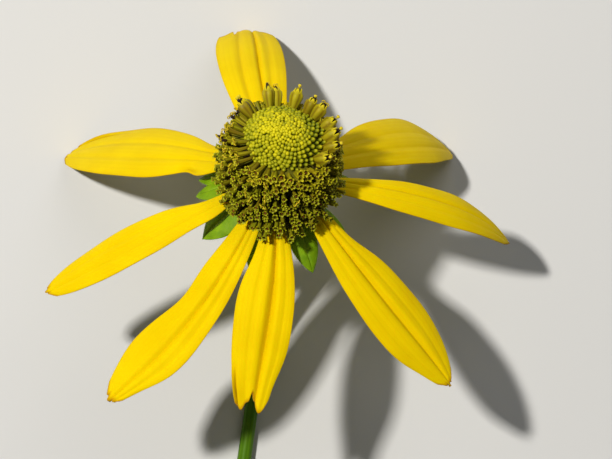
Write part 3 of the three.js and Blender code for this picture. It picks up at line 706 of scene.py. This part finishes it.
COROLLA_TUBE = [(0.0, 0.18, 0.2), (0.35, 0.2, 0.42), (0.55, 0.23, 0.58), (0.75, 0.27, 0.68),
                (0.88, 0.28, 0.66)]
COROLLA_LOBE = [(0, 0.35), (0, 0.7), (0, 1.0), (0.05, 0.85), (0.06, 0.4), (0.07, 0.0)]
COROLLA_UP = [0, 0.25, 0.45, 0.6, 0.7, 0.8, 0.9, 1, 0.95, 0.6, 0.2, 0.02]
COROLLA_ANGLES = np.radians(np.add.outer(np.arange(0, 360, 72), [-36, -13, 13]).ravel())
COROLLA_SIDES = len(COROLLA_ANGLES)
COROLLA_THROAT = 0.16
COROLLA_WIDTHS = (0.92, 1.12)
COROLLA_GIRTH = 0.35
LOBE_UNEVEN = 0.15
FRESH_CURL, OLD_CURLS = -0.55, (0.9, 2.4)
FRESH_REACH, OLD_REACHES = 0.72, (0.22, 0.34)
FRESH_MOUTH, OLD_MOUTH = 0.5, 0.28
FRESH_RIB, OLD_RIB = 0.14, 0.08
FRESH_HEIGHT = 1.04


def corollas(fresh, u):
    """Five-lobed tubes, one row for each floret: rings up the outside, over the lobes and back down the
    throat, wider near the dome. The lobes' reach is the root of a cosine with five beats, and each lobe
    bends along a circle. Fresh ones are fuller and close round the anthers, older ones roll outwards,
    each lobe a little differently. COROLLA_TUBE has each ring's height as a share, and its radius on an
    old and on a fresh floret, COROLLA_LOBE an inset and a share of the reach. Gives points, faces, and
    each point's place on the way up and over a nerve."""
    angle = COROLLA_ANGLES
    lobe = np.abs(np.cos(2.5 * angle)) ** 0.5
    own = np.repeat(rng.normal(0, 1, (len(fresh), 5)), 3, axis=1)
    curl = np.where(fresh, FRESH_CURL, rng.uniform(*OLD_CURLS, len(fresh)))[:, None]
    curl = curl * (1 + 2 * LOBE_UNEVEN * own)
    reach = np.where(fresh, FRESH_REACH, rng.uniform(*OLD_REACHES, len(fresh)))[:, None]
    reach = reach * (0.1 + 0.9 * lobe) * (1 + LOBE_UNEVEN * own)
    wide = ((1 + COROLLA_GIRTH * np.exp(-u / 0.1)) * rng.uniform(*COROLLA_WIDTHS, len(fresh)))[:, None]
    reach *= wide
    mouth = np.where(fresh, FRESH_MOUTH, OLD_MOUTH)[:, None] * wide
    top = np.where(fresh, FRESH_HEIGHT, 1)[:, None] * FLORET_LENGTH
    rib = 1 + np.where(fresh, FRESH_RIB, OLD_RIB)[:, None] * np.cos(5 * angle)
    rings = [(np.where(fresh[:, None], full, slim) * wide * rib, z * top + 0 * reach)
             for z, slim, full in COROLLA_TUBE]
    for inside, w in COROLLA_LOBE:
        bend = curl * w
        chord = reach * w * np.sinc(bend / (2 * np.pi))
        rings.append((mouth - inside + chord * np.sin(bend / 2),
                      0.9 * top + chord * np.cos(bend / 2) - inside * 0.7))
    rings.append((COROLLA_THROAT + 0 * reach, 0.72 * top + 0 * reach))
    rings = np.stack([np.stack([r * np.cos(angle), r * np.sin(angle), z], -1) for r, z in rings], 1) * MM
    poles = np.zeros((len(fresh), 2, 3))
    poles[:, 1, 2] = 0.68 * FLORET_LENGTH * MM
    up = np.repeat(COROLLA_UP, COROLLA_SIDES)
    nerve = np.tile(0.5 + 0.5 * np.cos(5 * angle), len(COROLLA_UP))
    return *ringed(rings, poles), np.append(up, [0, 0]), np.append(nerve, [0, 0])


COROLLA_GLOW = (1, 0.7, 0.1)
# Ramps up the corolla; the near-black stops at the foot and deep in the throat are painted shade.
YOUNG_COROLLA_AND_SHADE = ((0.0, (0.016, 0.003, 0.001)), (0.2, (0.34, 0.30, 0.006)),
                 (0.7, (0.50, 0.41, 0.006)), (0.97, (0.68, 0.55, 0.01)))
OLD_COROLLA_AND_SHADE = ((0.0, (0.016, 0.002, 0.001)), (0.25, (0.068, 0.072, 0.002)),
               (0.7, (0.25, 0.27, 0.004)), (0.95, (0.46, 0.46, 0.008)))
COROLLA_BROWN = (0.15, 0.085, 0.003)
COROLLA_GREEN = (0.16, 0.185, 0.004)
# Painted shade in the furrows between the tube's ribs.
COROLLA_RIB_SHADE = (0.15, 0.09, 0.003)


def floret_finish():
    """Corolla skin: olive gold up the tube and on the lobes, with painted shade that makes it dark at the
    foot, red brown to black down the throat and brown in the furrows between the tube's ribs. Older florets
    are greener and darker, and some have gone brown."""
    f = Finish("floret_corolla", 0.5, patch=900, grain=0.4, subsurface=0.05, glow=COROLLA_GLOW)
    young = f.curve(f.value("up"), *YOUNG_COROLLA_AND_SHADE)
    old = f.curve(f.value("up"), *OLD_COROLLA_AND_SHADE)
    aged = f.mix(f.value("age"), young, old)
    brown = f.mix(f.mask(f.value("brown"), 0, 1, 0.75), aged, COROLLA_BROWN)
    green = f.mix(f.mask(f.skin.outputs["Mottle"], 0.4, 0.7, 0.4), brown, COROLLA_GREEN)
    # Painted shade: brown in the furrows between the tube's ribs, below the lobes.
    rib_shaded = f.mix(f.mask(f.value("nerve"), 0.6, 0.0, 0.8), green, COROLLA_RIB_SHADE)
    return f.painted(f.mix(f.mask(f.value("up"), 0.9, 0.75), aged, rib_shaded))


FRESH_STRETCH = (0.84, 1)
OLD_STRETCH = (0.76, 1.06)
FLORET_UNEVEN = 0.11
FLORET_BENDS = (6, 24, 46)
AGE_DOWN = 1.3
AGE_UNEVEN = 0.15
AGE_OLD = 0.45
AGE_RIGHT = 0.4

(floret_roots, floret_aims, floret_stretch, floret_u,
 floret_azimuth, floret_fresh) = floret_places(FLORETS)
floret_front = facing_front(floret_azimuth)
floret_spin = rng.uniform(0, 2 * np.pi, FLORETS)
floret_stretch *= np.where(floret_fresh, rng.uniform(*FRESH_STRETCH, FLORETS),
                           rng.uniform(*OLD_STRETCH, FLORETS))
floret_aims = floret_aims + rng.normal(0, FLORET_UNEVEN, floret_aims.shape)
floret_aims /= np.linalg.norm(floret_aims, axis=1)[:, None]
floret_bend = FLORET_BENDS[0] + (FLORET_BENDS[1] + FLORET_BENDS[2] * floret_u) * floret_front ** 0.5
floret_bend = np.radians(floret_bend)
corolla_shape, corolla_faces, corolla_up, corolla_nerve = corollas(floret_fresh, floret_u)
corolla_points = placed(corolla_shape, floret_roots, floret_aims, floret_stretch, floret_spin, floret_bend)
corolla_age = AGE_DOWN * floret_u + rng.normal(0, AGE_UNEVEN, FLORETS)
corolla_age += np.where(floret_fresh, 0, AGE_OLD - AGE_RIGHT * facing_left(floret_azimuth + np.pi))
corolla_age = np.repeat(np.clip(corolla_age, 0, 1), len(corolla_up))
corolla_brown = np.repeat(rng.random(FLORETS) ** 2, len(corolla_up))
add_piece(
    "floret_corollas", from_head(corolla_points), copied(corolla_faces, len(corolla_up), FLORETS),
    [floret_finish()], {"up": np.tile(corolla_up, FLORETS), "nerve": np.tile(corolla_nerve, FLORETS),
                        "age": corolla_age, "brown": corolla_brown}, ["disc_florets"])

CORE_GREENS = (0.06, 0.055, 0.002), (0.16, 0.145, 0.003)
core_points, core_faces = turned(CORE, sides=72)
core_green = plain_finish("receptacle_core", 0.8, *CORE_GREENS, patch=900)
add_piece("receptacle", from_head(core_points), core_faces, [core_green], {}, ["disc_florets"])

ANTHERS = [(0.2, 2.6), (0.23, 3.7), (0.25, 4.3), (0.2, 4.55), (0.1, 4.65)]
LATE_ANTHERS = [(0.2, 2.6), (0.22, 3.5), (0.24, 3.95), (0.18, 4.15), (0.08, 4.22)]
WITHERED_ANTHERS = [(0.14, 2.7), (0.15, 3.2), (0.08, 3.4)]
STYLE_KNOB = [(0.07, 4.2), (0.1, 4.6), (0.2, 4.68), (0.26, 4.84), (0.24, 5.0), (0.12, 5.1)]
STYLE_KNOBS = 0.55
LATE_FLORETS = np.radians(25)
LATE_FACING = 0.72
LATE_DOWN = 0.2
LATE_SHARE = 0.45
ANTHER_BROWNS = (0.006, 0.003, 0.002), (0.03, 0.013, 0.005)
WITHERED_REDS = (0.02, 0.006, 0.002), (0.28, 0.08, 0.008)
POLLEN_YELLOWS = (0.50, 0.38, 0.01), (0.78, 0.62, 0.03)


def rod(sides, profile):
    """A small turned rod along +Z: a circle at each (radius, height) in millimetres, closed at the ends."""
    angle = np.linspace(0, 2 * np.pi, sides, endpoint=False)
    r, z = np.array(profile).T[:, :, None]
    rings = np.stack([r * np.cos(angle), r * np.sin(angle), z + 0 * angle], -1)
    return ringed(rings * MM, np.array([[0, 0, profile[0][1]], [0, 0, profile[-1][1]]]) * MM)


def add_rods(name, profile, which, material, sides, reach):
    """One rod in each floret of which, pushed in or out along its aim by up to reach millimetres."""
    shape, faces = rod(sides, profile)
    push = rng.uniform(-reach, reach, len(which))[:, None] * MM
    points = placed(shape[None], floret_roots[which] + floret_aims[which] * push, floret_aims[which],
                    floret_stretch[which], floret_spin[which], floret_bend[which])
    add_piece(name, from_head(points), copied(faces, len(shape), len(which)), [material], {},
              ["disc_florets"])


fresh_numbers = np.flatnonzero(floret_fresh)
old_numbers = np.flatnonzero(~floret_fresh)
late = facing_left(floret_azimuth + LATE_FLORETS) > LATE_FACING
late &= (floret_u < LATE_DOWN) & ~floret_fresh
late_numbers = np.flatnonzero(late & (rng.random(FLORETS) < LATE_SHARE))
anther_brown = plain_finish("anther_brown", 0.4, *ANTHER_BROWNS)
withered_red = plain_finish("withered_red", 0.6, *WITHERED_REDS, patch=2500)
pollen_yellow = plain_finish("pollen_yellow", 0.75, *POLLEN_YELLOWS, patch=4000)
add_rods("floret_anthers", ANTHERS, fresh_numbers, anther_brown, sides=8, reach=0.25)
add_rods("floret_late_anthers", LATE_ANTHERS, late_numbers, anther_brown, sides=8, reach=0.2)
add_rods("floret_withered_anthers", WITHERED_ANTHERS, old_numbers, withered_red, sides=6, reach=0.15)
knob_numbers = fresh_numbers[rng.random(len(fresh_numbers)) < STYLE_KNOBS]
add_rods("floret_styles", STYLE_KNOB, knob_numbers, pollen_yellow, sides=9, reach=0.15)

BRANCH_BEND = 0.26
BRANCH_TURN = 3.6
BRANCH_RADIUS = 0.085
BRANCHES_APART = 0.05
BRANCHED_SHARES = (0.03, 0.6)
BRANCHED_DOWN = 0.5
STIGMA_GOLDS = (0.42, 0.28, 0.006), (0.72, 0.55, 0.02)


def style_branches(height, steps=9, sides=6):
    """Two thin branches that part at a height and roll outwards: a tube along a circular bend, a little
    slimmer at its end."""
    turn = np.linspace(0, BRANCH_TURN, steps)
    x, z = BRANCH_BEND * (1 - np.cos(turn)), height + BRANCH_BEND * np.sin(turn)
    angle = np.linspace(0, 2 * np.pi, sides, endpoint=False)
    thick = BRANCH_RADIUS * (1 - 0.3 * np.linspace(0, 1, steps) ** 4)[:, None]
    ring_x = x[:, None] - thick * np.cos(angle) * np.cos(turn)[:, None] + BRANCHES_APART
    ring_z = z[:, None] + thick * np.cos(angle) * np.sin(turn)[:, None]
    rings = np.stack([ring_x, -thick * np.sin(angle), ring_z], -1) * MM
    one, faces = ringed(rings, rings[[0, -1]].mean(1))
    points = np.concatenate([one, one * [-1, -1, 1]])
    return points, faces + [block + len(one) for block in faces]


branched_share = BRANCHED_SHARES[0] + BRANCHED_SHARES[1] * facing_left(floret_azimuth[old_numbers])
branched = rng.random(len(old_numbers)) < branched_share
branched &= floret_u[old_numbers] < BRANCHED_DOWN
stigma_gold = plain_finish("stigma_gold", 0.6, *STIGMA_GOLDS, patch=3000)
for branch_name, branch_height, branch_numbers in (
        ("fresh", 4.5, np.setdiff1d(fresh_numbers, knob_numbers)),
        ("late", 4.3, late_numbers),
        ("old", 3.4, np.setdiff1d(old_numbers[branched], late_numbers))):
    branch_shape, branch_faces = style_branches(branch_height)
    branch_points = placed(branch_shape[None], floret_roots[branch_numbers], floret_aims[branch_numbers],
                           floret_stretch[branch_numbers], floret_spin[branch_numbers] * 3,
                           floret_bend[branch_numbers])
    add_piece("floret_style_branches_" + branch_name, from_head(branch_points),
              copied(branch_faces, len(branch_shape), len(branch_numbers)), [stigma_gold], {},
              ["disc_florets"])

SCALE_WRAP = np.radians(70)
SCALE_RADIUS = 0.34
SCALE_FLARE = 0.08
SCALE_HEIGHT = 0.8
SCALE_HALF_THICKNESS = 0.05 * MM
STAINED_SCALES = 0.3
# Straw ramp up a scale; its near-black stop at the foot is painted shade.
SCALE_STRAW_AND_SHADE = (0.2, (0.025, 0.03, 0.003)), (0.75, (0.15, 0.15, 0.008)), (0.97, (0.32, 0.27, 0.02))
SCALE_STAIN = (0.2, (0.02, 0.02, 0.003)), (0.95, (0.05, 0.022, 0.006))


def scale_mesh():
    """A boat-shaped scale, over a third of the way round a floret: a strip that bends round Z and flares
    a little, wide at the foot, with a blunt tip."""
    t, q = np.meshgrid(np.linspace(0, 1, 5), np.linspace(-1, 1, 5), indexing="ij")
    wrap = SCALE_WRAP * q * (1 - 0.4 * t ** 3)
    radius = (SCALE_RADIUS + SCALE_FLARE * t) * MM
    rise = FLORET_LENGTH * MM * SCALE_HEIGHT * t * (1 - 0.12 * q * q)
    middle = np.stack([radius * np.sin(wrap), -radius * np.cos(wrap), rise], -1)
    points, faces = thin_sheet(middle, np.full(t.shape, SCALE_HALF_THICKNESS))
    return points, faces, np.tile(t.ravel(), 2)


def scale_finish():
    """Stiff straw-green scale, with painted shade that darkens it towards the foot. Some are stained dark
    brown towards the tip.
    """
    f = Finish("scale_straw", 0.55, patch=900, grain=0.4)
    straw = f.curve(f.value("up"), *SCALE_STRAW_AND_SHADE)
    stained = f.curve(f.value("up"), *SCALE_STAIN)
    return f.painted(f.mix(f.value("stain"), straw, stained))


scale_shape, scale_faces, scale_up = scale_mesh()
scale_points = placed(scale_shape[None], floret_roots, floret_aims, floret_stretch, np.zeros(FLORETS),
                      floret_bend)
scale_stain = np.repeat(rng.random(FLORETS) < STAINED_SCALES, len(scale_up))
add_piece(
    "floret_scales", from_head(scale_points), copied(scale_faces, len(scale_up), FLORETS),
    [scale_finish()], {"up": np.tile(scale_up, FLORETS), "stain": scale_stain}, ["disc_florets"])

# Dome of buds
# The youngest florets, still closed, packed on the blunt top of the receptacle in the same spiral. Each
# is a small green drop with a yellower tip. Past the dome's edge they lean outwards and grow longer, and
# behind they step down to the first open florets.
BUDS = 400
DOME_BUDS = 330
DOME_RADIUS = 4.3
DOME_TOP = 12.05
DOME_FALL = 1.75
DOME_POWER = 2.2
DOME_SHIFT = np.array([-0.5, 0.35, 0]) * MM
STRAY_BUDS = np.radians(-20)
BUD_CROWDING = 1.12
BUD_SPREAD = 1.27
BUD_UNEVEN = 0.1
EDGE_SPREAD = 0.4
EDGE_SPREAD_FRONT = 0.5
EDGE_SPREAD_STRAY = 1.7
EDGE_SPREAD_BEHIND = 0.5
STEP_START = 1.12
STEP_DOWN = 9
STEP_LEAN = 10
BUD_LENGTH = 1.28 * MM
CUSHION_REACH = 1.1 * DOME_RADIUS
CUSHION_BASE = 9
CUSHION_THICKNESS = 0.4
CUSHION_UNDER = 0.62
CUSHION_GREENS = (0.12, 0.13, 0.002), (0.2, 0.2, 0.004)


def dome_fall(front):
    """How far the dome falls from its top to its edge, twice as far in front as behind."""
    return DOME_FALL * (0.75 + 0.75 * front)


def dome_height(share, front):
    """Height of the dome at a share of its radius: it falls with the 2.2nd power of the share and stays
    level past its edge."""
    return DOME_TOP - dome_fall(front) * np.minimum(share, 1) ** DOME_POWER


def bud_places(count):
    """Tip, aim and share of the way out of each bud: the golden angle again, and a share that grows with
    the root of the number to the power 1.12, so that the areas are nearly equal. Past the dome's edge
    they spread out in front and to one side, and step down and lean outwards behind. They stand square
    to the dome, each a little unevenly."""
    number = np.arange(count)
    share = np.sqrt((number + 0.5) / count) ** BUD_CROWDING * BUD_SPREAD
    azimuth = number * GOLDEN_ANGLE + rng.normal(0, 0.02, count) / share
    front = facing_front(azimuth)
    stray = np.cos((azimuth - STRAY_BUDS) / 2) ** 8
    past = np.maximum(share - 1, 0)
    behind = (1 - front) * (1 - stray)
    step = behind * np.maximum(share - STEP_START, 0)
    spread = EDGE_SPREAD + EDGE_SPREAD_FRONT * front + EDGE_SPREAD_STRAY * stray
    radius = DOME_RADIUS * (np.minimum(share, 1) + past * (spread + EDGE_SPREAD_BEHIND * behind))
    height = dome_height(share, front) - STEP_DOWN * step + rng.normal(0, BUD_UNEVEN / 2, count)
    slope = DOME_POWER * dome_fall(front) * share ** (DOME_POWER - 1) / DOME_RADIUS
    slope = slope + STEP_LEAN * step
    aim = np.stack([slope * np.cos(azimuth), slope * np.sin(azimuth), np.ones(count)], -1)
    aim = aim / np.linalg.norm(aim, axis=1)[:, None] + rng.normal(0, BUD_UNEVEN, aim.shape)
    aim /= np.linalg.norm(aim, axis=1)[:, None]
    tip = np.stack([radius * np.cos(azimuth), radius * np.sin(azimuth), height], -1) * MM + DOME_SHIFT
    return tip, aim, share


BUD_SIDES = 10
BUD_OUTLINE = [(0.2, 0, 0, 0), (0.4, 0.65, 0.03, 0.3), (0.49, 0.92, 0.12, 0.55),
               (0.4, 1.14, 0.26, 0.85), (0.2, 1.25, 0.45, 0.97)]


def bud_mesh():
    """A drop along +Z: narrow stalk, round head, five shallow creases that meet in a small tip. The
    outline has radius and height in millimetres, depth of the creases and place on the way up."""
    angle = np.linspace(0, 2 * np.pi, BUD_SIDES, endpoint=False)
    crease = 0.5 - 0.5 * np.cos(5 * angle)
    r, z, deep, up = np.array(BUD_OUTLINE).T[:, :, None]
    out = r * (1 - deep * crease)
    rings = np.stack([out * np.cos(angle), out * np.sin(angle), z + 0 * angle], -1) * MM
    points, faces = ringed(rings, np.array([[0, 0, 0], [0, 0, BUD_LENGTH]]))
    return points, faces, np.append(np.repeat(up, BUD_SIDES), [0, 0.8])


BUD_GLOW = (0.7, 1, 0.1)
# Ramps up a bud; the dark stops at the foot are painted shade between the buds.
OUTER_BUD_AND_SHADE = (0.3, (0.025, 0.035, 0.001)), (0.7, (0.19, 0.205, 0.003)), (0.97, (0.40, 0.38, 0.006))
INNER_BUD_AND_SHADE = (0.3, (0.15, 0.15, 0.002)), (0.7, (0.45, 0.41, 0.003)), (0.97, (0.72, 0.62, 0.006))
BUD_PATCH_GREEN = (0.12, 0.17, 0.005)


def bud_finish():
    """Yellow green, brightest yellow at the tips and in the middle, with painted shade that makes it dark
    green at the foot, between the buds.
    """
    f = Finish("bud_skin", 0.5, patch=420, grain=0.5, subsurface=0.08, glow=BUD_GLOW)
    outer = f.curve(f.value("up"), *OUTER_BUD_AND_SHADE)
    inner = f.curve(f.value("up"), *INNER_BUD_AND_SHADE)
    both = f.mix(f.value("edge"), inner, outer)
    return f.painted(f.mix(f.mask(f.skin.outputs["Mottle"], 0.5, 0.75, 0.5), both, BUD_PATCH_GREEN))


BUD_SIZES = (0.58, 0.2)
BUD_SIZE_UNEVEN = (0.85, 1.15)
BUD_LENGTH_UNEVEN = (0.95, 1.1)
YOUNG_FLORET_SIZE = 0.8
YOUNG_FLORET_STRETCH = 1.2
BUD_TONES = (1.1, 0.25, 0.32)

bud_tips, bud_aims, bud_share = bud_places(BUDS)
bud_one, bud_faces, bud_up = bud_mesh()
bud_size = (BUD_SIZES[0] + BUD_SIZES[1] * np.minimum(bud_share, 1)) * rng.uniform(*BUD_SIZE_UNEVEN, BUDS)
bud_size[DOME_BUDS:] *= YOUNG_FLORET_SIZE
bud_length = 1 + YOUNG_FLORET_STRETCH * np.clip(bud_share - 0.95, 0, 0.4)
bud_length *= rng.uniform(*BUD_LENGTH_UNEVEN, BUDS)
bud_roots = bud_tips - bud_aims * (BUD_LENGTH * bud_size * bud_length)[:, None]
bud_points = placed(bud_one[None] * bud_size[:, None, None], bud_roots, bud_aims, bud_length,
                    rng.uniform(0, 2 * np.pi, BUDS))
bud_edge = bud_share * BUD_TONES[0] - BUD_TONES[1] + rng.normal(0, BUD_TONES[2], BUDS)
bud_edge = np.clip(bud_edge, 0, 1)
bud_skin = bud_finish()
for bud_name, bud_which, bud_node, bud_slot in (
        ("dome_buds", slice(0, DOME_BUDS), "disc_buds", "bud"),
        ("young_florets", slice(DOME_BUDS, BUDS), "disc_florets", "floret")):
    bud_count = len(bud_edge[bud_which])
    add_piece(
        bud_name, from_head(bud_points[bud_which]), copied(bud_faces, len(bud_one), bud_count), [bud_skin],
        {"up": np.tile(bud_up, bud_count), "edge": np.repeat(bud_edge[bud_which], len(bud_one))},
        [bud_node])


def cushion_mesh():
    """The dome's body: a flat disc whose upper face is raised by dome_height to a little below the tips of
    the buds."""
    foot = CUSHION_BASE - CUSHION_THICKNESS
    outline = [[CUSHION_REACH * share, CUSHION_BASE] for share in np.linspace(0, 1, 9)]
    outline += [[CUSHION_REACH, foot], [0, foot]]
    points, faces = turned(np.array(outline) * MM, sides=60, smooth=2)
    x, y = points[:, 0], points[:, 1]
    height = dome_height(np.hypot(x, y) / (DOME_RADIUS * MM), facing_front(np.arctan2(y, x)))
    raised = points[:, 2] > (CUSHION_BASE - CUSHION_THICKNESS / 4) * MM
    points[:, 2] += np.where(raised, (height - CUSHION_UNDER - CUSHION_BASE) * MM, 0)
    return points, faces


dome_points, dome_faces = cushion_mesh()
cushion_green = plain_finish("cushion_green", 0.7, *CUSHION_GREENS)
add_piece("dome_cushion", from_head(dome_points + DOME_SHIFT), dome_faces, [cushion_green], {},
          ["disc_buds"])

# Surface, light and camera
# A plain pale table, a small key lamp at the upper left, a broad soft fill behind, a faint even sky, and
# a camera that looks straight down on the head.
TABLE_SIZE = 3.0
BOARD_GREYS = (0.62, 0.62, 0.61), (0.66, 0.66, 0.65)
SKY_COLOUR = (0.9, 0.95, 1.0, 1)
SKY_STRENGTH = 0.09
CAMERA_HEIGHT = 400 * MM
CAMERA_SHIFT = np.array([3.69, -7.03, 0]) * MM
CAMERA_LENS = 165.7
CAMERA_SENSOR = 36
CAMERA_NEAR = 10 * MM

table_mesh = bpy.data.meshes.new("table")
table_corners = np.array([[-1, -1, 0], [1, -1, 0], [1, 1, 0], [-1, 1, 0]]) * TABLE_SIZE / 2
table_mesh.from_pydata(table_corners.tolist(), [], [(0, 1, 2, 3)])
table_mesh.materials.append(plain_finish("pale_board", 0.7, *BOARD_GREYS, patch=3, grain=0.0))
table = bpy.data.objects.new("table", table_mesh)
bpy.context.scene.collection.objects.link(table)


def area_light(name, place, size, power, colour):
    """A square light at place from the head, aimed at it. Size is in metres, power in watts."""
    light = bpy.data.lights.new(name, "AREA")
    light.size, light.energy, light.color = size, power, colour
    lamp = bpy.data.objects.new(name, light)
    lamp.location = HEAD_CENTRE + np.array(place)
    lamp.rotation_mode = "QUATERNION"
    lamp.rotation_quaternion = (-Vector(place)).to_track_quat("-Z", "Y")
    bpy.context.scene.collection.objects.link(lamp)


area_light("key", place=(-0.29, 0.18, 0.65), size=0.045, power=5.95, colour=(1.0, 0.97, 0.92))
area_light("fill", place=(0.24, 0.44, 0.45), size=0.5, power=1.0, colour=(1.0, 0.98, 0.95))
world = bpy.data.worlds.new("studio")
world.use_nodes = True
world.node_tree.nodes["Background"].inputs["Color"].default_value = SKY_COLOUR
world.node_tree.nodes["Background"].inputs["Strength"].default_value = SKY_STRENGTH
bpy.context.scene.world = world
bpy.context.scene.view_settings.view_transform = "Standard"

camera_data = bpy.data.cameras.new("camera")
camera_data.lens = CAMERA_LENS
camera_data.sensor_width = CAMERA_SENSOR
camera_data.clip_start = CAMERA_NEAR
camera = bpy.data.objects.new("camera", camera_data)
camera.location = HEAD_CENTRE + CAMERA_SHIFT + np.array([0, 0, CAMERA_HEIGHT])
bpy.context.scene.collection.objects.link(camera)
bpy.context.scene.camera = camera
